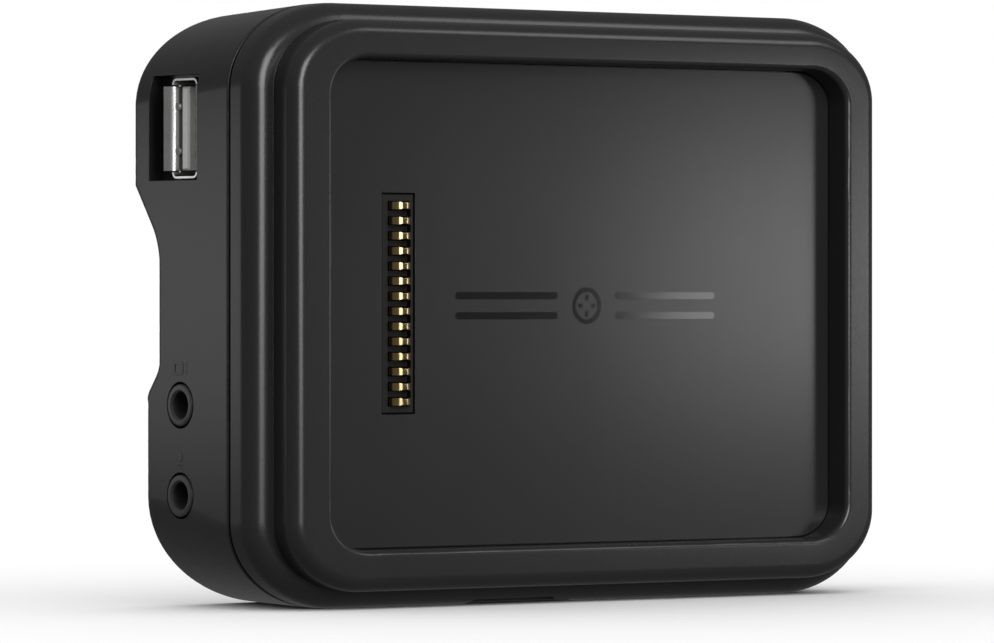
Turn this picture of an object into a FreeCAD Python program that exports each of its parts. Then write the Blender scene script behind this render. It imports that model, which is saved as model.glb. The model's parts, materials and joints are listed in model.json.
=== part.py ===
"""Powered magnetic cradle for a portable navigator, modelled piece by piece.

Units are millimetres. X runs across the cradle, Y from the docking face (front, -Y) to the mounting
face (back, +Y), Z up. The origin is on the floor under the middle of the cradle. Places along Y are
given as a depth behind the front rim and heights as a height above the cradle's middle; at() and up()
turn them into coordinates.
"""

import math
import os

import FreeCAD, Part

V = FreeCAD.Vector
ACROSS, REARWARD, UP = V(1, 0, 0), V(0, 1, 0), V(0, 0, 1)

# Whole cradle
WIDTH, DEPTH, HEIGHT = 108.0, 33.1, 80.0
MID_Z = HEIGHT / 2
HALF_WIDTH = WIDTH / 2
BODY_CORNER = (15.0, 11.6)
WALL = 2.0
BEYOND = 4.0  # how far cutting tools reach past the body

# Front housing: side wall, shoulder, raised rim, recess
SHOULDER_DEPTH, SHOULDER_ROUND = 4.5, 2.75
SEAM_DEPTH, SEAM_GAP, SEAM_INSET, SEAM_ROUND = 9.4, 0.5, 0.5, 0.25
RIM_WIDTH, RIM_HEIGHT, RIM_CORNER, RIM_ROUND = 101.0, 75.4, (12.0, 9.3), 2.0
RECESS_WIDTH, RECESS_HEIGHT, RECESS_CORNER = 88.8, 64.9, (6.2, 4.8)
RECESS_SHIFT = V(0.45, 0, 0.15)  # the recess sits a little off the cradle's middle
RECESS_DRAFT, LIP_ROUND = 0.15, 0.8
PANEL_DEPTH, PANEL_THICK, PANEL_GAP = 3.8, 0.8, 0.15
FLOOR_FRONT = PANEL_DEPTH + PANEL_THICK
FLOOR_BACK = FLOOR_FRONT + 1.4
FRONT_SKIN, INNER_CORNER = 1.8, (13.2, 9.8)
NOTCH_X, NOTCH_WIDTH, NOTCH_RISE, NOTCH_FRONT = -8.3, 17.6, 0.7, 5.5

# Rear cover: upper ridge, waist, lower ridge, mounting pad
REAR_FRONT = SEAM_DEPTH + SEAM_GAP
SIDE_DRAFT, TOP_DRAFT = 0.45, 0.65
TOP_CORNER, LOW_CORNER = (18.8, 12.8), (21.0, 15.5)  # of the back; the seam end has BODY_CORNER
RIDGE_DEPTH, WAIST_DEPTH, LOWER_DEPTH = 32.3, 26.6, 29.3
WAIST_TOP, WAIST_BOTTOM, LOWER_START, SLOPE = 8.1, -8.3, -11.6, 1.37
BACK_ROUND = 1.2
UNDER = 0.02  # trimmed off the bottom, so that it is one plane
PAD_WIDTH, PAD_HEIGHT, PAD_CORNER, PAD_ROUND = 54.0, 44.0, 9.0, 0.6
LABEL_WIDTH, LABEL_HEIGHT, LABEL_THICK, LABEL_Z = 42.0, 9.0, 0.25, 30.0

# Spring contact row
CONTACTS, PITCH, TRAVEL = 14, 2.0, 1.2
CONTACT_X, CONTACT_Z = -30.25, 0.25
CREST_DEPTH, CREST_RISE, CREST_LENGTH, CREST_WIDTH, STRIP = 2.5, 1.3, 3.6, 1.0, 0.3
FOOT_DEPTH, FOOT_REACH = 6.5, 0.2
BLOCK_X, BLOCK_LENGTH, BLOCK_HEIGHT, BLOCK_FRONT, BLOCK_BACK = -30.5, 5.4, 29.2, 3.95, 10.8
SLOT_CLEARANCE, RIB_SINK = 0.12, 0.85
CHAMBER_FRONT, CHAMBER_BACK = FOOT_DEPTH - 0.05, FOOT_DEPTH + STRIP + TRAVEL + 1.2
TAIL_X, TAIL_TOP, TAIL_WIDTH = CONTACT_X + 1.0, 4.8, 0.6
CONTACT_BOSS_Z, CONTACT_BOSS_RADIUS = 18.6, 2.2

# Circuit boards
CONTACT_BOARD_BACK = BLOCK_BACK + 1.2
BOARD_FRONT, BOARD_BACK = 16.6, 18.2
LINK_X, LINK_PIN = CONTACT_X - 3.3, 0.25

# Ports on the side walls
SIDE_X = HALF_WIDTH - 0.25  # where the drafted side wall is, half way back
USB_DEPTH, USB_Z, USB_LONG, USB_SHORT, USB_SKIN = 21.2, 23.5, 13.3, 5.72, 0.3
USB_LIP_X, USB_ROOT_X, USB_BACK_X = -SIDE_X + 0.9, -SIDE_X + 1.25, -SIDE_X + 15.0
USB_TAB_LENGTH, USB_TAB_FLARE = 11.2, 1.1
USB_TONGUE, USB_TONGUE_GAP, USB_TONGUE_LENGTH = 1.6, 0.66, 11.1
POCKET_DEPTHS, POCKET_HEIGHTS, POCKET_SINK = (17.0, 28.3), (16.6, 30.6), 2.6
JACK_DEPTH, CAMERA_Z, MIC_Z = 20.9, -13.2, -25.2
JACK_BORE, JACK_BUSH, JACK_HOLE, JACK_BLOCK, JACK_LENGTH = 1.8, 2.8, 3.1, 6.2, 12.0
JACK_BUSH_BACK = -SIDE_X + 2.4
INLET_DEPTH, INLET_Z, INLET_BORE, INLET_PIN, INLET_SIZE = 21.5, -19.0, 2.15, 0.825, 6.6
INLET_NOSE, INLET_LENGTH = 3.0, 12.0
PORT_PROUD = 0.2

# Fasteners, inserts and magnets
TOP_SCREW, LOW_SCREW = (31.0, 33.0), (35.0, -31.0)
SCREW_RADIUS, SCREW_HEAD, SCREW_SEAT, SCREW_TIP = 1.25, 2.3, 23.0, 9.2
BOSS_RADIUS, BOSS_TOP = 3.4, 14.0
CAP_THICK, CAP_SINK = 2.0, 0.2
BOARD_SCREW_X, BOARD_SCREW_Z = 38.0, (8.0, -5.5)
MOUNT_X, MOUNT_Z = 38.1 / 2, 30.2 / 2
MOUNT_BORE, INSERT_RADIUS, INSERT_LENGTH, STEM_RADIUS = 1.65, 2.8, 6.0, 4.4
MAGNET_SIZE, MAGNET_THICK = (16.0, 9.0), 3.0
MAGNET_PLACES = [(x, z) for x in (-10.0, 11.0, 32.0) for z in (-21.0, 0.0, 21.0)]
IRON_FRONT = FLOOR_BACK + MAGNET_THICK
IRON_THICK = 1.0


# ---------------------------------------------------------------- helpers


def at(depth):
    """Y coordinate of a depth behind the front rim."""
    return depth - DEPTH / 2


def up(z):
    """Z coordinate of a height above the cradle's middle."""
    return MID_Z + z


def box(x, depth, z):
    """Block between three pairs of limits."""
    size = [b - a for a, b in (x, depth, z)]
    return Part.makeBox(*size, V(x[0], at(depth[0]), up(z[0])))


def around(middle, length):
    """Limits of a stretch centred on a value."""
    return (middle - length / 2, middle + length / 2)


def rod_y(place, radius, front, back):
    """Cylinder along Y through an (x, z) place, between two depths."""
    return Part.makeCylinder(radius, back - front, V(place[0], at(front), up(place[1])), REARWARD)


def rod_x(place, radius, left, right):
    """Cylinder along X through a (depth, z) place, between two X limits."""
    return Part.makeCylinder(radius, right - left, V(left, at(place[0]), up(place[1])), ACROSS)


def outline(width, height, corner, depth, lift=0.0, low_corner=None):
    """Rounded rectangle whose corners are quarter ellipses, in the plane of one depth."""
    y = at(depth)
    edges = []
    for quarter, (sx, sz) in enumerate(((1, 1), (-1, 1), (-1, -1), (1, -1))):
        rx, rz = corner if sz > 0 or low_corner is None else low_corner
        centre = V(sx * (width / 2 - rx), y, up(sz * (height / 2 - rz) + lift))
        if abs(rx - rz) < 1e-9:
            curve = Part.Circle(centre, V(0, -1, 0), rx)
            curve.XAxis = ACROSS
        else:
            curve = Part.Ellipse(centre + ACROSS * rx, centre + UP * rz, centre)
        start = quarter * math.pi / 2
        edges.append(curve.toShape(start, start + math.pi / 2))
    joined = []
    for arc, following in zip(edges, edges[1:] + edges[:1]):
        joined += [arc, Part.makeLine(arc.lastVertex().Point, following.firstVertex().Point)]
    return Part.Wire(joined)


def slab(width, height, corner, front, back, lift=0.0):
    """Straight plate with a rounded-rectangle outline between two depths."""
    face = Part.Face(outline(width, height, corner, front, lift))
    return face.extrude(REARWARD * (back - front))


def tapered(front_wire, back_wire):
    """Solid with flat ends and straight, drafted sides between two outlines."""
    return Part.makeLoft([front_wire, back_wire], True, True)


def rounded_path(points, radii):
    """Closed wire through 3-D points; each corner gets an arc of its radius, and 0 leaves it sharp."""
    count = len(points)
    corners = []
    for i, (point, radius) in enumerate(zip(points, radii)):
        before = (points[i - 1] - point).normalize()
        after = (points[(i + 1) % count] - point).normalize()
        half = before.getAngle(after) / 2
        reach = radius / math.tan(half)
        top = point + (before + after).normalize() * (radius / math.sin(half) - radius)
        corners.append((point + before * reach, top, point + after * reach))
    edges = []
    for i, (start, top, end) in enumerate(corners):
        if radii[i]:
            edges.append(Part.Arc(start, top, end).toShape())
        following = corners[(i + 1) % count][0]
        if (following - end).Length > 1e-7:
            edges.append(Part.makeLine(end, following))
    return Part.Wire(edges)


def side_profile(points, radii, left, right):
    """Solid with a (depth, z) profile, run along X between two limits."""
    wire = rounded_path([V(left, at(d), up(z)) for d, z in points], radii)
    return Part.Face(wire).extrude(ACROSS * (right - left))


def plan_profile(points, radii, low, high):
    """Solid with an (x, depth) profile, run along Z between two heights."""
    wire = rounded_path([V(x, at(d), up(low)) for x, d in points], radii)
    return Part.Face(wire).extrude(UP * (high - low))


def edges_where(shape, test):
    """Edges whose every sampled point passes the test."""
    chosen = []
    for edge in shape.Edges:
        first, last = edge.ParameterRange
        samples = [edge.valueAt(first + (last - first) * k / 4) for k in range(5)]
        if all(test(p) for p in samples):
            chosen.append(edge)
    return chosen


def screw_places():
    """(x, z) of the four housing screws."""
    return [(side * x, z) for x, z in (TOP_SCREW, LOW_SCREW) for side in (-1, 1)]


def board_screw_places():
    """(x, z) of the four main board screws."""
    return [(side * BOARD_SCREW_X, z) for z in BOARD_SCREW_Z for side in (-1, 1)]


def contact_screw_places():
    """(x, z) of the two screws of the contact board."""
    return [(CONTACT_X, CONTACT_Z + side * CONTACT_BOSS_Z) for side in (-1, 1)]


def mount_places():
    """(x, z) of the four mounting inserts."""
    return [(sx * MOUNT_X, sz * MOUNT_Z) for sx in (-1, 1) for sz in (-1, 1)]


def contact_heights():
    """Height of each spring contact, from the top down."""
    top = CONTACT_Z + PITCH * (CONTACTS - 1) / 2
    return [top - PITCH * i for i in range(CONTACTS)]


def back_of(place):
    """Depth of the back face at a housing screw."""
    return RIDGE_DEPTH if place[1] > 0 else LOWER_DEPTH


def pan_screw(place, radius, head, seat, tip, head_height, towards_back):
    """Pan-head screw along Y with a cross recess; towards_back says which way its head points."""
    sign = 1 if towards_back else -1
    near, far = sorted((seat, seat + sign * head_height))
    body = rod_y(place, head, near, far)
    top = at(seat + sign * head_height)
    body = body.makeFillet(head_height * 0.4, edges_where(body, lambda p: abs(p.y - top) < 1e-6))
    low, high = sorted((seat, tip))
    body = body.fuse(rod_y(place, radius, low, high))
    sink = sorted((seat + sign * head_height * 0.45, seat + sign * (head_height + 1)))
    arm, blade = head * 1.15, head * 0.26
    cross = box(around(place[0], arm), sink, around(place[1], blade))
    cross = cross.fuse(box(around(place[0], blade), sink, around(place[1], arm)))
    return body.cut(cross)


# ---------------------------------------------------------------- shells


def front_outside():
    """Side wall with a rounded shoulder, carrying the raised rim."""
    shoulder = slab(WIDTH, HEIGHT, BODY_CORNER, SHOULDER_DEPTH, SEAM_DEPTH)
    front_edge = edges_where(shoulder, lambda p: abs(p.y - at(SHOULDER_DEPTH)) < 1e-6)
    shoulder = shoulder.makeFillet(SHOULDER_ROUND, front_edge)
    seam_edge = edges_where(shoulder, lambda p: abs(p.y - at(SEAM_DEPTH)) < 1e-6)
    shoulder = shoulder.makeFillet(SEAM_ROUND, seam_edge)
    rim = slab(RIM_WIDTH, RIM_HEIGHT, RIM_CORNER, 0, SHOULDER_DEPTH + SHOULDER_ROUND)
    rim = rim.makeFillet(RIM_ROUND, edges_where(rim, lambda p: abs(p.y - at(0)) < 1e-6))
    return shoulder.fuse(rim).removeSplitter()


def cut_recess(body):
    """Docking recess with slightly drafted walls and a softened lip."""
    over = 1.0
    spread = RECESS_DRAFT * over / FLOOR_FRONT
    mouth = outline(RECESS_WIDTH + 2 * spread, RECESS_HEIGHT + 2 * spread, RECESS_CORNER, -over)
    foot = outline(
        RECESS_WIDTH - 2 * RECESS_DRAFT, RECESS_HEIGHT - 2 * RECESS_DRAFT, RECESS_CORNER, FLOOR_FRONT
    )
    body = body.cut(tapered(mouth, foot).translated(RECESS_SHIFT))
    lip = edges_where(
        body,
        lambda p: abs(p.y - at(0)) < 1e-6
        and abs(p.x - RECESS_SHIFT.x) < RECESS_WIDTH / 2 + LIP_ROUND
        and abs(p.z - MID_Z - RECESS_SHIFT.z) < RECESS_HEIGHT / 2 + LIP_ROUND,
    )
    return body.makeFillet(LIP_ROUND, lip)


def front_hollow():
    """Space behind the front skin: the open back and the inside of the raised rim."""
    inset = 2 * FRONT_SKIN
    inside = slab(WIDTH - inset, HEIGHT - inset, INNER_CORNER, FLOOR_BACK, SEAM_DEPTH + BEYOND)
    rim_inside = slab(RIM_WIDTH - inset, RIM_HEIGHT - inset, (10.2, 7.5), FRONT_SKIN, FLOOR_BACK + 0.1)
    recess_wall = slab(RECESS_WIDTH + 2.6, RECESS_HEIGHT + 2.6, (7.5, 6.1), 0, FLOOR_BACK + 1)
    return inside.fuse(rim_inside.cut(recess_wall.translated(RECESS_SHIFT)))


def bottom_notch():
    """Shallow finger notch with slanted ends in the bottom edge, just before the seam."""
    half, rise = NOTCH_WIDTH / 2, NOTCH_RISE
    points = [(half + rise, -HEIGHT / 2 - rise), (half - rise, -HEIGHT / 2 + rise)]
    points = [(NOTCH_X + side * x, z) for side in (1, -1) for x, z in points[::side]]
    corners = [V(x, at(NOTCH_FRONT), up(z)) for x, z in points]
    return Part.Face(Part.makePolygon(corners + corners[:1])).extrude(REARWARD * DEPTH)


def magnet_frame(place):
    """Rib round one magnet."""
    w, h = MAGNET_SIZE
    outer = box(around(place[0], w + 2.4), (FLOOR_BACK - 0.2, IRON_FRONT - 1), around(place[1], h + 2.4))
    inner = box(around(place[0], w + 0.4), (FLOOR_BACK - 1, IRON_FRONT), around(place[1], h + 0.4))
    return outer.cut(inner)


def contact_window():
    """Opening that the contact block comes through."""
    return box(
        around(BLOCK_X, BLOCK_LENGTH + 0.2), (0, BLOCK_BACK + 1), around(CONTACT_Z, BLOCK_HEIGHT + 0.2)
    )


def front_housing():
    body = cut_recess(front_outside()).cut(front_hollow())
    ribs = [magnet_frame(place) for place in MAGNET_PLACES]
    bosses = [rod_y(place, BOSS_RADIUS, FLOOR_FRONT, BOSS_TOP) for place in screw_places()]
    bosses += [
        rod_y(place, CONTACT_BOSS_RADIUS, FLOOR_BACK - 0.2, BLOCK_BACK) for place in contact_screw_places()
    ]
    body = body.fuse(ribs + bosses).removeSplitter()
    pilots = [rod_y(place, SCREW_RADIUS, SCREW_TIP - 0.6, BOSS_TOP + 1) for place in screw_places()]
    pilots += [rod_y(place, 0.8, FLOOR_BACK + 0.4, BLOCK_BACK + 1) for place in contact_screw_places()]
    return body.cut(pilots + [contact_window(), bottom_notch()])


def tray_panel():
    inset = 2 * (RECESS_DRAFT + PANEL_GAP)
    panel = slab(RECESS_WIDTH - inset, RECESS_HEIGHT - inset, (5.9, 4.5), PANEL_DEPTH, FLOOR_FRONT)
    return panel.translated(RECESS_SHIFT).cut(contact_window())


def perimeter_seal():
    outer = slab(WIDTH - 2 * SEAM_INSET, HEIGHT - 2 * SEAM_INSET, (14.5, 11.1), SEAM_DEPTH, REAR_FRONT)
    inset = 2 * FRONT_SKIN
    inner = slab(WIDTH - inset, HEIGHT - inset, INNER_CORNER, SEAM_DEPTH - 1, REAR_FRONT + 1)
    return outer.cut(inner)


def back_relief(shift):
    """Space behind the stepped back face; shift moves it towards the front by a wall's thickness."""
    far = DEPTH + BEYOND
    waist, lower = WAIST_DEPTH - shift, LOWER_DEPTH - shift
    ridge = RIDGE_DEPTH - shift
    start = WAIST_TOP + (ridge - waist) * SLOPE
    points = [
        (far, HEIGHT),
        (ridge, HEIGHT),
        (ridge, start),
        (waist, WAIST_TOP),
        (waist, WAIST_BOTTOM),
        (lower, LOWER_START),
        (lower, -HEIGHT),
        (far, -HEIGHT),
    ]
    return side_profile(points, (0, 0, 0, 9.0, 2.5, 1.5, 0, 0), -WIDTH, WIDTH)


def rear_outside():
    """Drafted box with the stepped back and softened back edges."""
    seam = outline(WIDTH, HEIGHT + UNDER, BODY_CORNER, REAR_FRONT, -UNDER / 2)
    lift = -(TOP_DRAFT + UNDER) / 2
    height = HEIGHT - TOP_DRAFT + UNDER
    back = outline(WIDTH - 2 * SIDE_DRAFT, height, TOP_CORNER, DEPTH, lift, LOW_CORNER)
    below = box((-WIDTH, WIDTH), (0, DEPTH + BEYOND), (-HEIGHT, -HEIGHT / 2))
    body = tapered(seam, back).cut([back_relief(0), below])
    border = edges_where(body, lambda p: p.y > at(WAIST_DEPTH) - 0.5 and not clear_of_border(p))
    body = body.makeFillet(BACK_ROUND, border)
    return body.makeFillet(SEAM_ROUND, edges_where(body, lambda p: abs(p.y - at(REAR_FRONT)) < 1e-6))


def clear_of_border(p):
    """True for points of the back face that are away from its outer border."""
    return abs(p.x) < HALF_WIDTH - 15.5 and abs(p.z - MID_Z) < HEIGHT / 2 - 3


def rear_cavity():
    inset = 2 * WALL
    seam = outline(WIDTH - inset, HEIGHT - inset, (13.0, 9.6), REAR_FRONT - 1)
    width, height = WIDTH - inset - 2 * SIDE_DRAFT, HEIGHT - inset - TOP_DRAFT
    back = outline(width, height, (17.5, 11.0), DEPTH, -TOP_DRAFT / 2, (19.0, 13.5))
    pad_inside = slab(PAD_WIDTH - 4.4, PAD_HEIGHT - 4.4, (7.0, 7.0), WAIST_DEPTH - 5, DEPTH - 2.2)
    return tapered(seam, back).cut(back_relief(WALL)).fuse(pad_inside)


def mounting_pad():
    pad = slab(PAD_WIDTH, PAD_HEIGHT, (PAD_CORNER, PAD_CORNER), WAIST_DEPTH - 1, DEPTH)
    return pad.makeFillet(PAD_ROUND, edges_where(pad, lambda p: abs(p.y - at(DEPTH)) < 1e-6))


def rear_supports():
    """Everything that stands inside the rear cover."""
    usb_wall = box((-SIDE_X + 0.8, -SIDE_X + 4.4), (15.6, RIDGE_DEPTH - 1), (14.8, 32.4))
    stems = [rod_y(place, STEM_RADIUS, DEPTH - INSERT_LENGTH - 2, DEPTH - 1) for place in mount_places()]
    towers = [rod_y(place, BOSS_RADIUS, BOSS_TOP, back_of(place) - 1) for place in screw_places()]
    posts = [rod_y(place, 2.6, BOARD_BACK, WAIST_DEPTH - 1) for place in board_screw_places()]
    return [usb_wall] + stems + towers + posts


def rear_holes():
    """Screw, insert and board screw holes."""
    holes = []
    for place in screw_places():
        holes.append(rod_y(place, SCREW_HEAD + 0.2, SCREW_SEAT, DEPTH + 1))
        holes.append(rod_y(place, SCREW_RADIUS + 0.2, BOSS_TOP - 1, DEPTH))
    holes += [rod_y(place, INSERT_RADIUS, DEPTH - INSERT_LENGTH, DEPTH + 1) for place in mount_places()]
    holes += [rod_y(place, 1.0, BOARD_BACK - 1, WAIST_DEPTH - 1.6) for place in board_screw_places()]
    return holes


def port_holes():
    """Openings in the side walls, and the shallow bed of the label."""
    outside = HALF_WIDTH + 1
    pocket = box((-outside, -SIDE_X + POCKET_SINK), POCKET_DEPTHS, POCKET_HEIGHTS)
    throat = box((-outside, -SIDE_X + 6), around(USB_DEPTH, USB_SHORT + 0.3), around(USB_Z, USB_LONG + 0.3))
    jacks = [rod_x((JACK_DEPTH, z), JACK_HOLE, -outside, -SIDE_X + 4) for z in (CAMERA_Z, MIC_Z)]
    inlet = rod_x((INLET_DEPTH, INLET_Z), INLET_NOSE + 0.3, SIDE_X - 4, outside)
    bed = slab(
        LABEL_WIDTH + 0.3, LABEL_HEIGHT + 0.3, (1.2, 1.2), RIDGE_DEPTH - LABEL_THICK, DEPTH + 1, LABEL_Z
    )
    return [pocket, throat, inlet, bed] + jacks


def rear_cover():
    outside = rear_outside().fuse(mounting_pad()).removeSplitter()
    supports = [piece.common(outside) for piece in rear_supports()]
    body = outside.cut(rear_cavity()).fuse(supports).removeSplitter()
    return body.cut(rear_holes() + port_holes())


def rating_label():
    return slab(LABEL_WIDTH, LABEL_HEIGHT, (1.0, 1.0), RIDGE_DEPTH - LABEL_THICK, RIDGE_DEPTH, LABEL_Z)


# ---------------------------------------------------------------- spring contact row


def spring_contact(z):
    """Formed strip: domed crest, two legs, and feet that stop it inside its chamber."""
    half = CREST_LENGTH / 2
    inner = half - STRIP
    side = CREST_DEPTH + CREST_RISE
    foot = FOOT_DEPTH + STRIP
    spare = 0.1

    def point(x, depth):
        return V(CONTACT_X + x, at(depth), up(z - CREST_WIDTH / 2 - spare))

    outer_arc = Part.Arc(point(-half, side), point(0, CREST_DEPTH), point(half, side)).toShape()
    inner_arc = Part.Arc(point(inner, side), point(0, CREST_DEPTH + STRIP), point(-inner, side)).toShape()
    right = [
        (half, side),
        (half, FOOT_DEPTH),
        (half + FOOT_REACH, FOOT_DEPTH),
        (half + FOOT_REACH, foot),
        (inner, foot),
        (inner, side),
    ]
    left = [(-x, depth) for x, depth in reversed(right)]
    right_side = Part.makePolygon([point(*p) for p in right])
    left_side = Part.makePolygon([point(*p) for p in left])
    wire = Part.Wire([outer_arc] + right_side.Edges + [inner_arc] + left_side.Edges)
    strip = Part.Face(wire).extrude(UP * (CREST_WIDTH + 2 * spare))
    return strip.common(rounded_front(z))


def rounded_front(z):
    """Bar along X whose front corners are round; it trims a contact to its width."""
    front = CREST_DEPTH - 0.03
    low, high = around(z, CREST_WIDTH)
    points = [(front, low), (front, high), (CHAMBER_BACK, high), (CHAMBER_BACK, low)]
    return side_profile(points, (0.3, 0.3, 0, 0), CONTACT_X - CREST_LENGTH, CONTACT_X + CREST_LENGTH)


def contact_chamber(z):
    """Slot for one contact: a narrow mouth, and a chamber wide enough for the feet."""
    long, high = CREST_LENGTH + 2 * SLOT_CLEARANCE, around(z, CREST_WIDTH + 2 * SLOT_CLEARANCE)
    mouth = box(around(CONTACT_X, long), (BLOCK_FRONT - 1, CHAMBER_BACK), high)
    chamber = box(around(CONTACT_X, long + 2 * FOOT_REACH), (CHAMBER_FRONT, CHAMBER_BACK), high)
    tail = box(around(TAIL_X, STRIP + 0.1), (CHAMBER_BACK - 1, BLOCK_BACK + 1), around(z, TAIL_WIDTH + 0.1))
    return mouth.fuse([chamber, tail])


def contact_housing():
    block = box(around(BLOCK_X, BLOCK_LENGTH), (BLOCK_FRONT, BLOCK_BACK), around(CONTACT_Z, BLOCK_HEIGHT))
    front = edges_where(block, lambda p: abs(p.y - at(BLOCK_FRONT)) < 1e-6)
    block = block.makeChamfer(0.2, front)
    column = (CONTACTS - 1) * PITCH + CREST_WIDTH + 2 * SLOT_CLEARANCE
    sunk = box(
        around(CONTACT_X, CREST_LENGTH + 2 * SLOT_CLEARANCE),
        (BLOCK_FRONT - 1, BLOCK_FRONT + RIB_SINK),
        around(CONTACT_Z, column),
    )
    return block.cut([sunk] + [contact_chamber(z) for z in contact_heights()])


def contact_tails():
    tails = []
    for z in contact_heights():
        tails.append(box(around(TAIL_X, STRIP), (TAIL_TOP, CONTACT_BOARD_BACK + 0.5), around(z, TAIL_WIDTH)))
    return Part.makeCompound(tails)


def contact_board():
    board = box((LINK_X - 1.7, CONTACT_X + 3.2), (BLOCK_BACK, CONTACT_BOARD_BACK), around(CONTACT_Z, 42.0))
    holes = [rod_y(place, 1.1, BLOCK_BACK - 1, CONTACT_BOARD_BACK + 1) for place in contact_screw_places()]
    for z in contact_heights():
        through = (BLOCK_BACK - 1, CONTACT_BOARD_BACK + 1)
        holes.append(box(around(TAIL_X, STRIP + 0.1), through, around(z, TAIL_WIDTH + 0.1)))
        holes.append(rod_y((LINK_X, z), LINK_PIN + 0.05, *through))
    return board.cut(holes)


def contact_board_screws():
    screws = []
    for place in contact_screw_places():
        screws.append(
            pan_screw(place, 0.8, 1.7, CONTACT_BOARD_BACK, FLOOR_BACK + 0.8, 1.1, towards_back=True)
        )
    return Part.makeCompound(screws)


def link_header():
    strip = box(around(LINK_X, 2.4), (CONTACT_BOARD_BACK, BOARD_FRONT), around(CONTACT_Z, CONTACTS * PITCH))
    return strip.cut([rod_y((LINK_X, z), LINK_PIN + 0.05, 0, DEPTH) for z in contact_heights()])


def link_pins():
    return Part.makeCompound(
        [rod_y((LINK_X, z), LINK_PIN, BLOCK_BACK + 0.2, BOARD_BACK + 0.5) for z in contact_heights()]
    )


# ---------------------------------------------------------------- magnets


def magnets():
    w, h = MAGNET_SIZE
    blocks = []
    for x, z in MAGNET_PLACES:
        blocks.append(box(around(x, w), (FLOOR_BACK, IRON_FRONT), around(z, h)))
    return Part.makeCompound(blocks)


def iron_plate():
    left, right = MAGNET_PLACES[0][0] - 9.5, MAGNET_PLACES[-1][0] + 9.5
    return slab(
        right - left, 53.0, (2.0, 2.0), IRON_FRONT, IRON_FRONT + IRON_THICK
    ).translated(ACROSS * (left + right) / 2)


# ---------------------------------------------------------------- main board


def main_board():
    board = slab(98.0, 62.0, (4.0, 4.0), BOARD_FRONT, BOARD_BACK, 1.0)
    through = (BOARD_FRONT - 1, BOARD_BACK + 1)
    holes = [rod_y(place, BOSS_RADIUS + 0.8, *through) for place in screw_places()]
    holes += [rod_y(place, 1.4, *through) for place in board_screw_places()]
    holes += [rod_y((LINK_X, z), LINK_PIN + 0.05, *through) for z in contact_heights()]
    return board.cut(holes)


def board_screws():
    return Part.makeCompound(
        [
            pan_screw(place, 1.0, 2.0, BOARD_FRONT, WAIST_DEPTH - 2.6, 1.3, towards_back=False)
            for place in board_screw_places()
        ]
    )


def on_board(x, z, height):
    """Block soldered to the back of the main board, between limits in X and Z."""
    return box(x, (BOARD_BACK, BOARD_BACK + height), z)


def shield_can():
    skin = 0.25
    x, z = (-25.0, 1.0), (-12.0, 12.0)
    can = on_board(x, z, 2.4)
    top = edges_where(can, lambda p: abs(p.y - at(BOARD_BACK + 2.4)) < 1e-6)
    can = can.makeFillet(0.4, top)
    inner_x, inner_z = (x[0] + skin, x[1] - skin), (z[0] + skin, z[1] - skin)
    hollow = box(inner_x, (BOARD_BACK - 1, BOARD_BACK + 2.4 - skin), inner_z)
    return can.cut(hollow)


def video_chip():
    return on_board((-17.0, -7.0), (-5.0, 5.0), 1.2)


def hub_chip():
    return on_board((-27.0, -20.0), (20.0, 27.0), 0.9)


def power_inductor():
    coil = on_board((14.0, 24.0), (-5.0, 5.0), 4.0)
    at_corner = lambda p: abs(abs(p.x - 19.0) - 5) < 1e-6 and abs(abs(p.z - MID_Z) - 5) < 1e-6
    return coil.makeFillet(1.6, edges_where(coil, at_corner))


def capacitors():
    cans = []
    for place in ((8.0, -3.5), (8.0, 3.5), (30.0, -22.0), (22.0, -24.0)):
        base = on_board(around(place[0], 5.3), around(place[1], 5.3), 0.8)
        can = rod_y(place, 2.5, BOARD_BACK, BOARD_BACK + 4.6)
        cans.append(base.fuse(can))
    return Part.makeCompound(cans)


# ---------------------------------------------------------------- USB port


def usb_flare(side):
    """Bell-mouthed tab of one long wall; side is -1 towards the front and +1 towards the back."""
    inner, outer = USB_SHORT / 2 - USB_SKIN, USB_SHORT / 2
    start = USB_ROOT_X + 0.9
    bend = USB_ROOT_X - 0.05
    slant = USB_SKIN * math.sqrt(0.5)
    points = [
        (start, inner),
        (bend, inner),
        (bend - USB_TAB_FLARE, inner + USB_TAB_FLARE),
        (bend - USB_TAB_FLARE + slant, inner + USB_TAB_FLARE + slant),
        (bend + USB_SKIN * math.tan(math.pi / 8), outer + 0.02),
        (start, outer),
    ]
    placed = [(x, USB_DEPTH + side * d) for x, d in points]
    low, high = around(USB_Z, USB_TAB_LENGTH)
    return plan_profile(placed, (0, 2.2, 0, 0, 1.9, 0), low, high)


def usb_dimple(side, z):
    """Inward bump of one retaining spring in a long wall."""
    wall = USB_DEPTH + side * (USB_SHORT / 2 - USB_SKIN / 2)
    place = V(USB_ROOT_X + 0.7, at(wall), up(z))
    ball = Part.makeSphere(0.65, place)
    half = (wall - 1.0, wall) if side > 0 else (wall, wall + 1.0)
    return ball.common(box((USB_ROOT_X - 1, USB_ROOT_X + 3), half, around(z, 3)))


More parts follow.
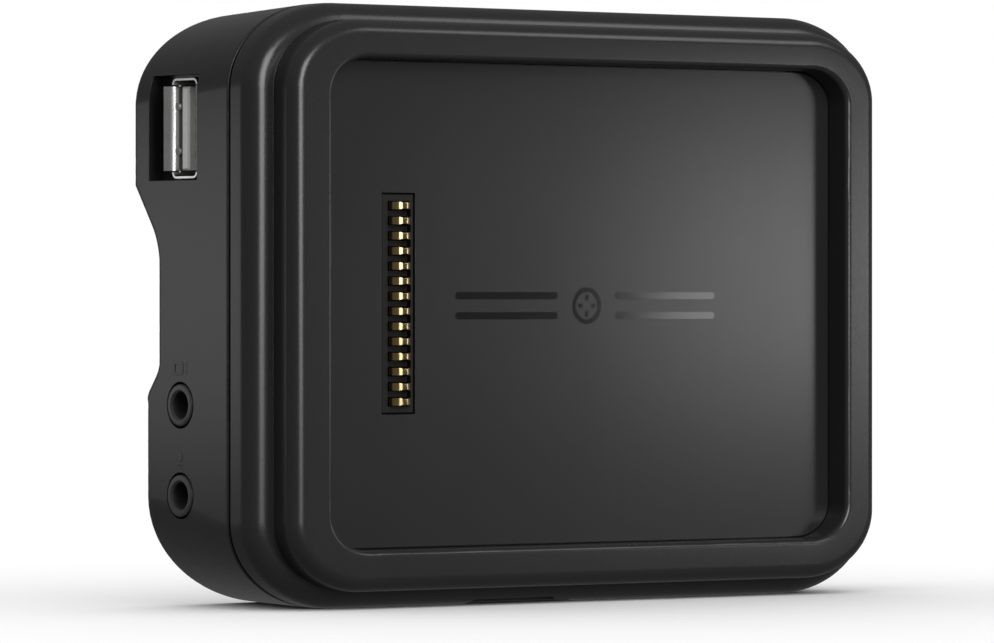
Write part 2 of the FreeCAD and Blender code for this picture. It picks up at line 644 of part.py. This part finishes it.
def usb_shell():
    length = USB_BACK_X - USB_LIP_X
    tube = box((USB_LIP_X, USB_BACK_X), around(USB_DEPTH, USB_SHORT), around(USB_Z, USB_LONG))
    corners = edges_where(tube, lambda p: True)
    corners = [e for e in corners if abs(e.Length - length) < 1e-6]
    tube = tube.makeFillet(0.9, corners)
    bore = box(
        (USB_LIP_X - 1, USB_BACK_X + 1),
        around(USB_DEPTH, USB_SHORT - 2 * USB_SKIN),
        around(USB_Z, USB_LONG - 2 * USB_SKIN),
    )
    bore = bore.makeFillet(0.6, [e for e in bore.Edges if abs(e.Length - length - 2) < 1e-6])
    mouth = box((USB_LIP_X - 1, USB_ROOT_X + 0.8), (0, DEPTH), around(USB_Z, USB_TAB_LENGTH + 0.4))
    shell = tube.cut([bore, mouth])
    extras = []
    for side in (-1, 1):
        extras.append(usb_flare(side))
        for dz in (-2.97, 2.97):
            extras.append(usb_dimple(side, USB_Z + dz))
    for x in (USB_ROOT_X + 4.6, USB_BACK_X - 3):
        for side in (-1, 1):
            z = USB_Z + side * (USB_LONG / 2 - USB_SKIN / 2)
            extras.append(box(around(x, 2.0), (BOARD_BACK, USB_DEPTH), around(z, USB_SKIN)))
    for piece in extras:
        shell = shell.fuse(piece)
    return shell.removeSplitter()


def usb_tongue():
    back = USB_DEPTH + USB_SHORT / 2 - USB_SKIN - USB_TONGUE_GAP
    front_x = USB_ROOT_X + 0.5
    tongue = box((front_x, USB_BACK_X), (back - USB_TONGUE, back), around(USB_Z, USB_TONGUE_LENGTH))
    base_short = USB_SHORT - 2 * USB_SKIN - 0.1
    base_long = USB_LONG - 2 * USB_SKIN - 0.1
    base = box((USB_BACK_X - 3.4, USB_BACK_X), around(USB_DEPTH, base_short), around(USB_Z, base_long))
    base = base.makeFillet(0.6, [e for e in base.Edges if abs(e.Length - 3.4) < 1e-6])
    nose = edges_where(tongue, lambda p: abs(p.x - front_x) < 1e-6)
    return tongue.makeChamfer(0.25, nose).fuse(base).removeSplitter()


def usb_contacts():
    """Four strips along the tongue's open side."""
    face = USB_DEPTH + USB_SHORT / 2 - USB_SKIN - USB_TONGUE_GAP - USB_TONGUE
    strips = []
    for dz in (-3.5, -1.0, 1.0, 3.5):
        span = (USB_ROOT_X + 1.6, USB_BACK_X - 3.6)
        strips.append(box(span, (face - 0.15, face), around(USB_Z + dz, 1.0)))
    return Part.makeCompound(strips)


# ---------------------------------------------------------------- jacks and power inlet


def jack_body(z):
    """Moulded block with the bore and three spring windows."""
    left, right = JACK_BUSH_BACK, JACK_BUSH_BACK + JACK_LENGTH
    depths = (BOARD_BACK, 2 * JACK_DEPTH - BOARD_BACK)
    body = box((left, right), depths, around(z, JACK_BLOCK))
    body = body.makeFillet(0.4, [e for e in body.Edges if abs(e.Length - JACK_LENGTH) < 1e-6])
    cuts = [rod_x((JACK_DEPTH, z), JACK_BORE, left - 1, right - 1.2)]
    for x in spring_xs():
        cuts.append(box(around(x, 1.4), (JACK_DEPTH, DEPTH), around(z, 1.4)))
    return body.cut(cuts)


def spring_xs():
    """X of the three springs of a jack."""
    return [JACK_BUSH_BACK + 2.6 + 2.9 * i for i in range(3)]


def jack_collar(z):
    """Turned bush that stands just proud of the side wall, with a chamfered mouth."""
    mouth = -SIDE_X - PORT_PROUD
    place = (JACK_DEPTH, z)
    bush = rod_x(place, JACK_BUSH, mouth, JACK_BUSH_BACK)
    bush = bush.makeFillet(0.25, edges_where(bush, lambda p: abs(p.x - mouth) < 1e-6))
    bush = bush.cut(rod_x(place, JACK_BORE, mouth - 1, JACK_BUSH_BACK + 1))
    cone = Part.makeCone(JACK_BORE + 0.25, JACK_BORE, 0.25, V(mouth, at(JACK_DEPTH), up(z)), ACROSS)
    return bush.cut(cone)


def jack_springs(z):
    """Three leaves, each in its window just outside the bore."""
    leaves = []
    for x in spring_xs():
        front = JACK_DEPTH + JACK_BORE + 0.05
        leaves.append(box(around(x, 1.2), (front, front + 0.3), around(z, 1.2)))
    return Part.makeCompound(leaves)


def inlet_body():
    """Power inlet: a round nose through the right side wall on a moulded block."""
    place = (INLET_DEPTH, INLET_Z)
    nose_end = SIDE_X + PORT_PROUD
    shoulder = SIDE_X - 2.4
    left = nose_end - INLET_LENGTH
    nose = rod_x(place, INLET_NOSE, shoulder - 0.5, nose_end)
    nose = nose.makeFillet(0.25, edges_where(nose, lambda p: abs(p.x - nose_end) < 1e-6))
    block = box((left, shoulder), (BOARD_BACK, 2 * INLET_DEPTH - BOARD_BACK), around(INLET_Z, INLET_SIZE))
    body = nose.fuse(block).removeSplitter()
    window = box((left + 3, left + 6), (INLET_DEPTH, DEPTH), around(INLET_Z, 2.0))
    return body.cut([rod_x(place, INLET_BORE, left + 2, nose_end + 1), window])


def inlet_pin():
    left = SIDE_X + PORT_PROUD - INLET_LENGTH + 2
    return rod_x((INLET_DEPTH, INLET_Z), INLET_PIN, left, SIDE_X - 0.8)


def inlet_spring():
    left = SIDE_X + PORT_PROUD - INLET_LENGTH + 3.2
    front = INLET_DEPTH + INLET_BORE + 0.05
    return box((left, left + 2.6), (front, front + 0.35), around(INLET_Z, 1.7))


# ---------------------------------------------------------------- fasteners


def housing_screws():
    return Part.makeCompound(
        [
            pan_screw(place, SCREW_RADIUS - 0.02, SCREW_HEAD, SCREW_SEAT, SCREW_TIP, 1.8, towards_back=True)
            for place in screw_places()
        ]
    )


def screw_caps():
    caps = []
    for place in screw_places():
        back = back_of(place) - CAP_SINK
        cap = rod_y(place, SCREW_HEAD + 0.15, back - CAP_THICK, back)
        rim = edges_where(cap, lambda p, y=at(back): abs(p.y - y) < 1e-6)
        caps.append(cap.makeFillet(0.4, rim))
    return Part.makeCompound(caps)


def mount_inserts():
    inserts = []
    for place in mount_places():
        tube = rod_y(place, INSERT_RADIUS, DEPTH - INSERT_LENGTH, DEPTH)
        inserts.append(tube.cut(rod_y(place, MOUNT_BORE, DEPTH - INSERT_LENGTH - 1, DEPTH + 1)))
    return Part.makeCompound(inserts)


# ---------------------------------------------------------------- output

PIECES = {
    "front_housing": front_housing,
    "tray_panel": tray_panel,
    "perimeter_seal": perimeter_seal,
    "rear_cover": rear_cover,
    "rating_label": rating_label,
    "contact_housing": contact_housing,
    "contact_tails": contact_tails,
    "contact_board": contact_board,
    "contact_board_screws": contact_board_screws,
    "link_header": link_header,
    "link_pins": link_pins,
    "magnets": magnets,
    "iron_plate": iron_plate,
    "main_board": main_board,
    "board_screws": board_screws,
    "shield_can": shield_can,
    "video_chip": video_chip,
    "hub_chip": hub_chip,
    "power_inductor": power_inductor,
    "capacitors": capacitors,
    "usb_shell": usb_shell,
    "usb_tongue": usb_tongue,
    "usb_contacts": usb_contacts,
    "inlet_body": inlet_body,
    "inlet_pin": inlet_pin,
    "inlet_spring": inlet_spring,
    "housing_screws": housing_screws,
    "screw_caps": screw_caps,
    "mount_inserts": mount_inserts,
}


def export(name, shape):
    solids = shape.Solids
    good = bool(solids) and all(s.isValid() and s.Volume > 0 for s in solids)
    print(f"{name:24s} solids {len(solids):3d}  volume {shape.Volume:10.2f}  {'ok' if good else 'BAD'}")
    shape.exportStep(f"parts/{name}.step")


def main():
    os.makedirs("parts", exist_ok=True)
    for name, make in PIECES.items():
        export(name, make())
    for name, z in (("camera", CAMERA_Z), ("mic", MIC_Z)):
        export(f"{name}_jack_body", jack_body(z))
        export(f"{name}_jack_collar", jack_collar(z))
        export(f"{name}_jack_springs", jack_springs(z))
    for number, z in enumerate(contact_heights(), 1):
        export(f"spring_contact_{number:02d}", spring_contact(z))


main()
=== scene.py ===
import json
import math

import bmesh
import bpy
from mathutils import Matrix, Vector

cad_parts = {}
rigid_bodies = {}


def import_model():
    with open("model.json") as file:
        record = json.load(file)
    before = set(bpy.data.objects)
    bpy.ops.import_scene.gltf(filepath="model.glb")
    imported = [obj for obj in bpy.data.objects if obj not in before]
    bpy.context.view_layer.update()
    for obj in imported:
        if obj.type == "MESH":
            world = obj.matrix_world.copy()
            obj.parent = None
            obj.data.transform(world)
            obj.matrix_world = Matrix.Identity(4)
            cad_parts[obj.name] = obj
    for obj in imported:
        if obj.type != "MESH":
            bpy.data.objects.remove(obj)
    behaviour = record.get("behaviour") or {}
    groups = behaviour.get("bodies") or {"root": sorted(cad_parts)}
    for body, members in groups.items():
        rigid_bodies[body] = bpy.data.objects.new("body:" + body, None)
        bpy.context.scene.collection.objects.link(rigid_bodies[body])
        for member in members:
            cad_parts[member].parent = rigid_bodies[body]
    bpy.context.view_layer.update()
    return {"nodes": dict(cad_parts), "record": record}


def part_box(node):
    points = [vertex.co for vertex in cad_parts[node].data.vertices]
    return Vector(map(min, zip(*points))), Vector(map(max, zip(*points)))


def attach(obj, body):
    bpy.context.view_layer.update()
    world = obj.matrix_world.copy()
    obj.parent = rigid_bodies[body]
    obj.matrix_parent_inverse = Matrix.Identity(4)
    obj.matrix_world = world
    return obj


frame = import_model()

MM = 0.001
ROOT = "cradle"

LOW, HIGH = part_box("front_housing")
PANEL_FACE_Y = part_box("tray_panel")[0].y
MIDDLE_Z = (LOW.z + HIGH.z) / 2
COLLAR_STANDS_PROUD = 0.15 * MM
SIDE_FACE_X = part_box("camera_jack_collar")[0].x + COLLAR_STANDS_PROUD


# ---------------------------------------------------------------- node graphs


class Graph:
    """A material's node tree, built by short calls."""

    def __init__(self, name):
        self.material = bpy.data.materials.new(name)
        self.material.use_nodes = True
        self.tree = self.material.node_tree
        self.tree.nodes.clear()
        self.out = self.add("ShaderNodeOutputMaterial")

    def add(self, kind, inputs=None, **settings):
        node = self.tree.nodes.new(kind)
        for key, value in settings.items():
            setattr(node, key, value)
        for key, value in (inputs or {}).items():
            self.feed(node.inputs[key], value)
        return node

    def feed(self, socket, value):
        if isinstance(value, bpy.types.NodeSocket):
            self.tree.links.new(value, socket)
        else:
            socket.default_value = value

    def coordinates(self):
        return self.add("ShaderNodeTexCoord").outputs["Object"]

    def stretched(self, scale):
        """Object coordinates scaled per axis."""
        node = self.add("ShaderNodeMapping", {"Vector": self.coordinates(), "Scale": scale})
        return node.outputs["Vector"]

    def noise(self, size_mm, detail=3.0, roughness=0.5, vector=None):
        """Noise whose features are about size_mm across."""
        inputs = {
            "Vector": vector or self.coordinates(),
            "Scale": 1.0 / (size_mm * MM),
            "Detail": detail,
            "Roughness": roughness,
        }
        return self.add("ShaderNodeTexNoise", inputs).outputs["Fac"]

    def fit(self, value, low, high, start=0.0, end=1.0):
        """Value mapped from start..end to low..high."""
        inputs = {"Value": value, "From Min": start, "From Max": end, "To Min": low, "To Max": high}
        return self.add("ShaderNodeMapRange", inputs).outputs["Result"]

    def math(self, operation, a, b):
        node = self.add("ShaderNodeMath", operation=operation)
        self.feed(node.inputs[0], a)
        self.feed(node.inputs[1], b)
        return node.outputs[0]

    def blend(self, factor, a, b):
        """Colour between a and b."""
        node = self.add("ShaderNodeMix", data_type="RGBA")
        for index, value in ((0, factor), (6, a), (7, b)):
            self.feed(node.inputs[index], value)
        return node.outputs[2]

    def bump(self, height, depth_mm, strength=1.0, normal=None):
        inputs = {"Height": height, "Distance": depth_mm * MM, "Strength": strength}
        if normal is not None:
            inputs["Normal"] = normal
        return self.add("ShaderNodeBump", inputs).outputs["Normal"]

    def soft_edges(self, radius_mm):
        """Normals that round every edge a little."""
        return self.add("ShaderNodeBevel", {"Radius": radius_mm * MM}, samples=6).outputs["Normal"]

    def finish(self, **inputs):
        """Principled shader with the given inputs; double underscores stand for spaces."""
        named = {key.replace("_", " "): value for key, value in inputs.items()}
        shader = self.add("ShaderNodeBsdfPrincipled", named)
        self.tree.links.new(shader.outputs[0], self.out.inputs["Surface"])
        return self.material


def grey(value):
    return (value, value, value, 1.0)


def scaled(colour, factor):
    """Colour made darker or lighter."""
    return tuple(c * factor for c in colour[:3]) + (1.0,)


# ---------------------------------------------------------------- materials


def moulded_plastic(name, colour, roughness, grain_mm, grain_depth_mm, edge_mm, specular):
    """Spark-textured plastic: fine grain, slow drift of tone and sheen, and softened edges."""
    g = Graph(name)
    drift = g.noise(24.0, detail=2.0)
    grain = g.noise(grain_mm, detail=4.0, roughness=0.6)
    specks = g.noise(grain_mm * 3.5, detail=2.0)
    relief = g.math("ADD", g.fit(grain, 0.0, 0.75), g.fit(specks, 0.0, 0.25))
    tone = g.math("MULTIPLY", g.fit(drift, 0.9, 1.1), g.fit(grain, 0.85, 1.15))
    base = g.blend(g.fit(tone, 0.0, 1.0, 0.8, 1.2), scaled(colour, 0.8), scaled(colour, 1.2))
    sheen = g.fit(specks, roughness * 0.9, roughness * 1.1)
    rough = g.math("MULTIPLY", g.fit(drift, 0.96, 1.04), sheen)
    normal = g.bump(relief, grain_depth_mm, normal=g.soft_edges(edge_mm))
    return g.finish(Base_Color=base, Roughness=rough, Normal=normal, Specular_IOR_Level=specular)


def smooth_plastic(name, colour, roughness):
    """Semi-gloss plastic: nearly smooth, with faint long waves and faint hairlines."""
    g = Graph(name)
    waves = g.noise(30.0, detail=1.0)
    hairs = g.noise(0.5, detail=3.0, vector=g.stretched((1.0, 1.0, 0.06)))
    fine = g.noise(0.12, detail=3.0)
    relief = g.math("ADD", g.fit(fine, 0.0, 0.8), g.fit(hairs, 0.0, 0.2))
    base = g.blend(waves, scaled(colour, 0.85), scaled(colour, 1.15))
    sheen = g.fit(hairs, roughness * 0.94, roughness * 1.06)
    rough = g.math("ADD", g.fit(waves, -0.015, 0.015), sheen)
    normal = g.bump(relief, 0.0022, normal=g.soft_edges(0.1))
    return g.finish(Base_Color=base, Roughness=rough, Normal=normal, Specular_IOR_Level=0.5)


METAL_TARNISH = 0.15


def metal(name, colour, roughness, stretch=(1.0, 1.0, 0.1), streak_mm=0.18):
    """Plated metal with fine streaks and a little tarnish."""
    g = Graph(name)
    streaks = g.noise(streak_mm, detail=4.0, vector=g.stretched(stretch))
    cloud = g.noise(3.0, detail=3.0)
    worn = scaled(colour, 1.0 - METAL_TARNISH)
    base = g.blend(g.fit(cloud, 0.0, 1.0, 0.35, 0.7), colour, worn)
    brushing = g.fit(streaks, -roughness * 0.3, roughness * 0.3)
    rough = g.math("ADD", brushing, g.fit(cloud, roughness * 0.8, roughness * 1.2))
    normal = g.bump(streaks, 0.002, normal=g.soft_edges(0.05))
    return g.finish(Base_Color=base, Metallic=1.0, Roughness=rough, Normal=normal)


def rubber(name, colour):
    g = Graph(name)
    dust = g.noise(0.35, detail=5.0, roughness=0.65)
    bloom = g.noise(4.0, detail=2.0)
    base = g.blend(g.fit(bloom, 0.0, 0.5, 0.4, 0.8), colour, scaled(colour, 1.6))
    normal = g.bump(dust, 0.012, normal=g.soft_edges(0.1))
    return g.finish(Base_Color=base, Roughness=g.fit(dust, 0.72, 0.9), Normal=normal)


def film(name, colour):
    """Matt label film with a faint woven print and a softened edge."""
    g = Graph(name)
    fibre = g.noise(0.25, detail=4.0, vector=g.stretched((0.3, 1.0, 1.0)))
    patch = g.noise(9.0, detail=2.0)
    base = g.blend(g.math("MULTIPLY", patch, fibre), colour, scaled(colour, 1.25))
    normal = g.bump(fibre, 0.006, normal=g.soft_edges(0.06))
    return g.finish(Base_Color=base, Roughness=g.fit(fibre, 0.5, 0.66), Normal=normal)


BOARD_GREEN, BOARD_GREEN_ON_COPPER = (0.012, 0.1, 0.04, 1), (0.02, 0.16, 0.065, 1)
COPPER_AREAS_PER_METRE = 380.0


def circuit_board(name):
    """Green mask over copper areas, with a faint weave."""
    g = Graph(name)
    inputs = {"Vector": g.coordinates(), "Scale": COPPER_AREAS_PER_METRE}
    cells = g.add("ShaderNodeTexVoronoi", inputs, distance="CHEBYCHEV")
    copper = g.fit(cells.outputs["Distance"], 0.0, 1.0, 0.3, 0.34)
    base = g.blend(copper, BOARD_GREEN, BOARD_GREEN_ON_COPPER)
    weave = g.noise(0.3, detail=2.0)
    normal = g.bump(g.math("ADD", g.fit(copper, 0.0, 0.8), g.fit(weave, 0.0, 0.2)), 0.03)
    return g.finish(Base_Color=base, Roughness=g.fit(weave, 0.3, 0.45), Normal=normal)


def gloss_ink(name):
    """Printed mark: glossier and blacker than the panel, so it turns bright where a lamp is mirrored."""
    g = Graph(name)
    fine = g.noise(0.2, detail=3.0)
    base = g.blend(fine, grey(0.002), grey(0.004))
    rough = g.fit(fine, 0.09, 0.13)
    normal = g.bump(fine, 0.001, normal=g.soft_edges(0.03))
    return g.finish(Base_Color=base, Roughness=rough, Normal=normal, Specular_IOR_Level=0.6)


# Colour, roughness, grain size in mm, grain depth in mm, edge radius in mm, specular level.
MOULDED = {
    "housing_plastic": (grey(0.012), 0.26, 0.16, 0.005, 0.1, 0.5),
    "port_plastic": (grey(0.026), 0.3, 0.2, 0.004, 0.08, 0.5),
    "connector_plastic": (grey(0.005), 0.55, 0.12, 0.008, 0.04, 0.3),
    "chip_epoxy": (grey(0.03), 0.6, 0.1, 0.01, 0.05, 0.5),
    "ferrite": (grey(0.08), 0.55, 0.2, 0.012, 0.08, 0.5),
    "tongue_plastic": ((0.62, 0.62, 0.6, 1), 0.45, 0.3, 0.003, 0.06, 0.5),
}

# Colour, roughness.
PLATED = {
    "gold_plate": ((0.4, 0.31, 0.15, 1), 0.17),
    "nickel_plate": ((0.78, 0.76, 0.72, 1), 0.33),
    "zinc_steel": ((0.6, 0.61, 0.62, 1), 0.34),
    "black_steel": (grey(0.06), 0.4),
    "can_aluminium": ((0.8, 0.8, 0.81, 1), 0.3),
}

MATERIALS = {
    "panel_plastic": smooth_plastic("panel_plastic", grey(0.014), roughness=0.22),
    "mark_ink": gloss_ink("mark_ink"),
    "seal_rubber": rubber("seal_rubber", grey(0.006)),
    "label_film": film("label_film", grey(0.05)),
    "circuit_board": circuit_board("circuit_board"),
    "insert_brass": metal("insert_brass", (0.72, 0.52, 0.22, 1), 0.3, stretch=(1.0, 0.1, 1.0)),
    "tinned_steel": metal("tinned_steel", (0.74, 0.74, 0.73, 1), 0.24, streak_mm=0.3),
}
MATERIALS.update({name: moulded_plastic(name, *look) for name, look in MOULDED.items()})
MATERIALS.update({name: metal(name, *look) for name, look in PLATED.items()})


WELD_MM = 0.0005
SHARP_ANGLE = math.radians(28)


def dress_cad_nodes():
    """Gives each CAD node its slot's material and smooth shading across its round faces."""
    smooth = smoothing_group()
    slots = {row["node"]: row["material_slot"] for row in frame["record"]["subparts"]}
    for name, piece in frame["nodes"].items():
        piece.data.materials.clear()
        piece.data.materials.append(MATERIALS[slots[name]])
        weld = piece.modifiers.new("weld", "WELD")
        weld.merge_threshold = WELD_MM * MM
        shade = piece.modifiers.new("shade", "NODES")
        shade.node_group = smooth
        weighted = piece.modifiers.new("weighted", "WEIGHTED_NORMAL")
        weighted.keep_sharp = True


def smoothing_group():
    """Geometry nodes that shade smooth and keep edges over SHARP_ANGLE sharp."""
    group = bpy.data.node_groups.new("smooth_by_angle", "GeometryNodeTree")
    group.interface.new_socket("Geometry", in_out="INPUT", socket_type="NodeSocketGeometry")
    group.interface.new_socket("Geometry", in_out="OUTPUT", socket_type="NodeSocketGeometry")
    nodes, links = group.nodes, group.links
    start, end = nodes.new("NodeGroupInput"), nodes.new("NodeGroupOutput")
    faces, edges = nodes.new("GeometryNodeSetShadeSmooth"), nodes.new("GeometryNodeSetShadeSmooth")
    edges.domain = "EDGE"
    angle, flat = nodes.new("GeometryNodeInputMeshEdgeAngle"), nodes.new("FunctionNodeCompare")
    flat.operation = "LESS_THAN"
    flat.inputs["B"].default_value = SHARP_ANGLE
    links.new(start.outputs[0], faces.inputs["Geometry"])
    links.new(faces.outputs[0], edges.inputs["Geometry"])
    links.new(angle.outputs["Unsigned Angle"], flat.inputs["A"])
    links.new(flat.outputs[0], edges.inputs["Shade Smooth"])
    links.new(edges.outputs[0], end.inputs[0])
    return group


# ---------------------------------------------------------------- marks


class Relief:
    """Thin raised artwork on a flat face: closed prisms drawn in millimetres and turned into one mesh."""

    def __init__(self, name, origin, across, up, thick_mm):
        self.name, self.origin, self.across, self.up = name, Vector(origin), Vector(across), Vector(up)
        self.out = self.across.cross(self.up) * thick_mm * MM
        self.build = bmesh.new()

    def corner(self, a, b, raised):
        place = self.origin + (self.across * a + self.up * b) * MM
        return self.build.verts.new(place + self.out * (1.0 if raised else -0.5))

    def strip(self, outer, inner):
        """Closed band between two loops of the same number of (a, b) points."""
        rims = ((outer, 1), (inner, 1), (inner, 0), (outer, 0))
        loops = [[self.corner(*p, raised) for p in loop] for loop, raised in rims]
        for one, two in zip(loops, loops[1:] + loops[:1]):
            for i in range(len(one)):
                j = (i + 1) % len(one)
                self.build.faces.new((one[i], one[j], two[j], two[i]))

    def plate(self, loop):
        """Solid prism under a loop of (a, b) points."""
        top, bottom = ([self.corner(*p, raised) for p in loop] for raised in (1, 0))
        self.build.faces.new(top)
        self.build.faces.new(bottom[::-1])
        for i in range(len(loop)):
            j = (i + 1) % len(loop)
            self.build.faces.new((top[i], bottom[i], bottom[j], top[j]))

    def done(self, material, slot):
        bmesh.ops.recalc_face_normals(self.build, faces=self.build.faces)
        mesh = bpy.data.meshes.new(self.name)
        self.build.to_mesh(mesh)
        self.build.free()
        mesh.materials.append(material)
        piece = bpy.data.objects.new(self.name, mesh)
        bpy.context.scene.collection.objects.link(piece)
        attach(piece, ROOT)


def circle(a, b, radius, count=48):
    return [
        (a + radius * math.cos(i * math.tau / count), b + radius * math.sin(i * math.tau / count))
        for i in range(count)
    ]


def bar(a0, a1, b0, b1, corner, count=6):
    """Rounded rectangle between limits."""
    points = []
    for quarter, (a, b) in enumerate(((a1, b1), (a0, b1), (a0, b0), (a1, b0))):
        side = (1 if a == a1 else -1, 1 if b == b1 else -1)
        centre = (a - side[0] * corner, b - side[1] * corner)
        for i in range(count + 1):
            turn = (quarter + i / count) * math.pi / 2
            points.append((centre[0] + corner * math.cos(turn), centre[1] + corner * math.sin(turn)))
    return points


MARK_X_MM, MARK_THICK_MM = 1.5, 0.03
RING_OUTER_MM, RING_INNER_MM = 2.5, 1.85
TICK_MM, TICK_HALF_WIDTH_MM, TICK_CORNER_MM = (0.75, 1.5), 0.28, 0.1
BAR_MM, BAR_RISE_MM, BAR_HALF_WIDTH_MM = (5.0, 22.5), 1.35, 0.5


def make_panel_mark():
    """Plain mark in the panel's middle: a ring with four ticks between two pairs of bars."""
    middle = (MARK_X_MM * MM, PANEL_FACE_Y, MIDDLE_Z)
    mark = Relief("panel_mark", middle, (1, 0, 0), (0, 0, 1), MARK_THICK_MM)
    mark.strip(circle(0, 0, RING_OUTER_MM), circle(0, 0, RING_INNER_MM))
    across = (-TICK_HALF_WIDTH_MM, TICK_HALF_WIDTH_MM)
    for a, b in ((1, 0), (0, 1), (-1, 0), (0, -1)):
        spans = [sorted(k * reach for reach in TICK_MM) if k else across for k in (a, b)]
        mark.plate(bar(*spans[0], *spans[1], TICK_CORNER_MM))
    for side in (-1, 1):
        ends = sorted(side * reach for reach in BAR_MM)
        for b in (-BAR_RISE_MM, BAR_RISE_MM):
            mark.plate(bar(*ends, b - BAR_HALF_WIDTH_MM, b + BAR_HALF_WIDTH_MM, BAR_HALF_WIDTH_MM))
    mark.done(MATERIALS["mark_ink"], "panel_plastic")


PICTOGRAM_THICK_MM = 0.05
CAMERA_SIGN_RISE_MM, MIC_SIGN_RISE_MM = 4.9, 4.7


def wall_relief(name, jack, rise_mm):
    """Artwork on the left wall over a jack; it reads from outside the wall."""
    low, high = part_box(jack)
    place = (SIDE_FACE_X, (low.y + high.y) / 2, (low.z + high.z) / 2 + rise_mm * MM)
    return Relief(name, place, (0, -1, 0), (0, 0, 1), PICTOGRAM_THICK_MM)


def make_pictograms():
    """Plain camera and microphone signs over the two jacks."""
    camera = wall_relief("pictogram_camera", "camera_jack_collar", CAMERA_SIGN_RISE_MM)
    camera.strip(bar(-1.5, 0.7, -0.9, 0.9, 0.3), bar(-1.15, 0.35, -0.55, 0.55, 0.12))
    camera.plate([(0.85, -0.3), (1.6, -0.85), (1.6, 0.85), (0.85, 0.3)])
    camera.done(MATERIALS["port_plastic"], "port_plastic")
    mic = wall_relief("pictogram_mic", "mic_jack_collar", MIC_SIGN_RISE_MM)
    mic.plate(bar(-0.45, 0.45, -0.2, 1.1, 0.44))
    mic.plate(bar(-0.85, 0.85, -0.65, -0.4, 0.1))
    mic.plate(bar(-0.12, 0.12, -1.0, -0.6, 0.06))
    mic.plate(bar(-0.6, 0.6, -1.2, -0.98, 0.08))
    mic.done(MATERIALS["port_plastic"], "port_plastic")


# ---------------------------------------------------------------- camera, light, floor

CAMERA_PLACE = Vector((-0.5791, -0.73615, MIDDLE_Z))
CAMERA_YAW = 38.0
SENSOR_MM, LENS_MM = 36.0, 248.1175
HORIZON_DROP = -0.016  # share of the frame's width

SKY_ENERGY, SKY_ANGLE = 3.35, 150.0
WORLD_SEEN, WORLD_FELT = 1.0, 0.16
CRADLE_MIDDLE = (0, 0, MIDDLE_Z)
# Place, target, width and height in metres, power in watts.
LAMPS = {
    "panel_glow": ((0.285, -0.25, 0.047), (0.045, -0.01, 0.042), (0.12, 0.05), 0.075),
    "front_left": ((-0.10, -0.60, 0.22), CRADLE_MIDDLE, (0.28, 0.4), 2.6),
    "front_top": ((0.31, -0.32, 0.30), CRADLE_MIDDLE, (0.14, 0.14), 0.22),
    "back_left": ((-0.18, 0.17, 0.045), (-0.05, 0.0, 0.045), (0.1, 0.06), 0.016),
}
FLOOR_REACH, FLOOR_TONES = 4.0, (0.88, 0.9)


def make_camera():
    data = bpy.data.cameras.new("camera")
    data.sensor_width = SENSOR_MM
    data.lens = LENS_MM
    data.shift_y = HORIZON_DROP
    data.clip_start = 0.01
    camera = bpy.data.objects.new("camera", data)
    camera.location = CAMERA_PLACE
    camera.rotation_euler = (math.radians(90), 0, math.radians(-CAMERA_YAW))
    bpy.context.scene.collection.objects.link(camera)
    bpy.context.scene.camera = camera


def soft_light(name, place, target, size, power):
    data = bpy.data.lights.new(name, "AREA")
    data.shape = "RECTANGLE"
    data.size, data.size_y = size
    data.energy = power
    lamp = bpy.data.objects.new(name, data)
    lamp.location = place
    lamp.rotation_euler = (Vector(target) - Vector(place)).to_track_quat("-Z", "Y").to_euler()
    bpy.context.scene.collection.objects.link(lamp)
    return lamp


def make_lights():
    """Sky lamp for the floor and the plain tones, and soft lamps that light the cradle only."""
    data = bpy.data.lights.new("sky", "SUN")
    data.energy, data.angle = SKY_ENERGY, math.radians(SKY_ANGLE)
    sky = bpy.data.objects.new("sky", data)
    sky.visible_glossy = False
    bpy.context.scene.collection.objects.link(sky)
    lit = bpy.data.collections.new("lit_by_lamps")
    for piece in bpy.context.scene.objects:
        if piece.type == "MESH" and piece.name != "floor":
            lit.objects.link(piece)
    for name, (place, target, size, power) in LAMPS.items():
        lamp = soft_light(name, place, target, size, power)
        lamp.light_linking.receiver_collection = lit


def make_world():
    """Plain pale surroundings, white where the camera looks past the floor."""
    world = bpy.data.worlds.new("studio")
    bpy.context.scene.world = world
    world.use_nodes = True
    tree = world.node_tree
    tree.nodes.clear()
    out = tree.nodes.new("ShaderNodeOutputWorld")
    seen, felt = tree.nodes.new("ShaderNodeBackground"), tree.nodes.new("ShaderNodeBackground")
    seen.inputs["Strength"].default_value = WORLD_SEEN
    seen.inputs["Color"].default_value = (1, 1, 1, 1)
    felt.inputs["Strength"].default_value = WORLD_FELT
    felt.inputs["Color"].default_value = (1, 1, 1, 1)
    path, mix = tree.nodes.new("ShaderNodeLightPath"), tree.nodes.new("ShaderNodeMixShader")
    tree.links.new(path.outputs["Is Camera Ray"], mix.inputs[0])
    tree.links.new(felt.outputs[0], mix.inputs[1])
    tree.links.new(seen.outputs[0], mix.inputs[2])
    tree.links.new(mix.outputs[0], out.inputs["Surface"])


def make_floor():
    mesh = bpy.data.meshes.new("floor")
    build = bmesh.new()
    signs = ((-1, -1), (1, -1), (1, 1), (-1, 1))
    corners = [build.verts.new((x * FLOOR_REACH, y * FLOOR_REACH, 0)) for x, y in signs]
    build.faces.new(corners)
    build.to_mesh(mesh)
    build.free()
    g = Graph("floor")
    speck = g.noise(40.0, detail=2.0)
    base = g.blend(speck, *(grey(tone) for tone in FLOOR_TONES))
    g.finish(Base_Color=base, Roughness=0.7, Specular_IOR_Level=0.3)
    mesh.materials.append(g.material)
    floor = bpy.data.objects.new("floor", mesh)
    floor.visible_glossy = False
    floor.visible_diffuse = False
    bpy.context.scene.collection.objects.link(floor)


make_camera()
make_world()
make_floor()
dress_cad_nodes()
make_panel_mark()
make_pictograms()
make_lights()
bpy.context.scene.view_settings.view_transform = "Standard"
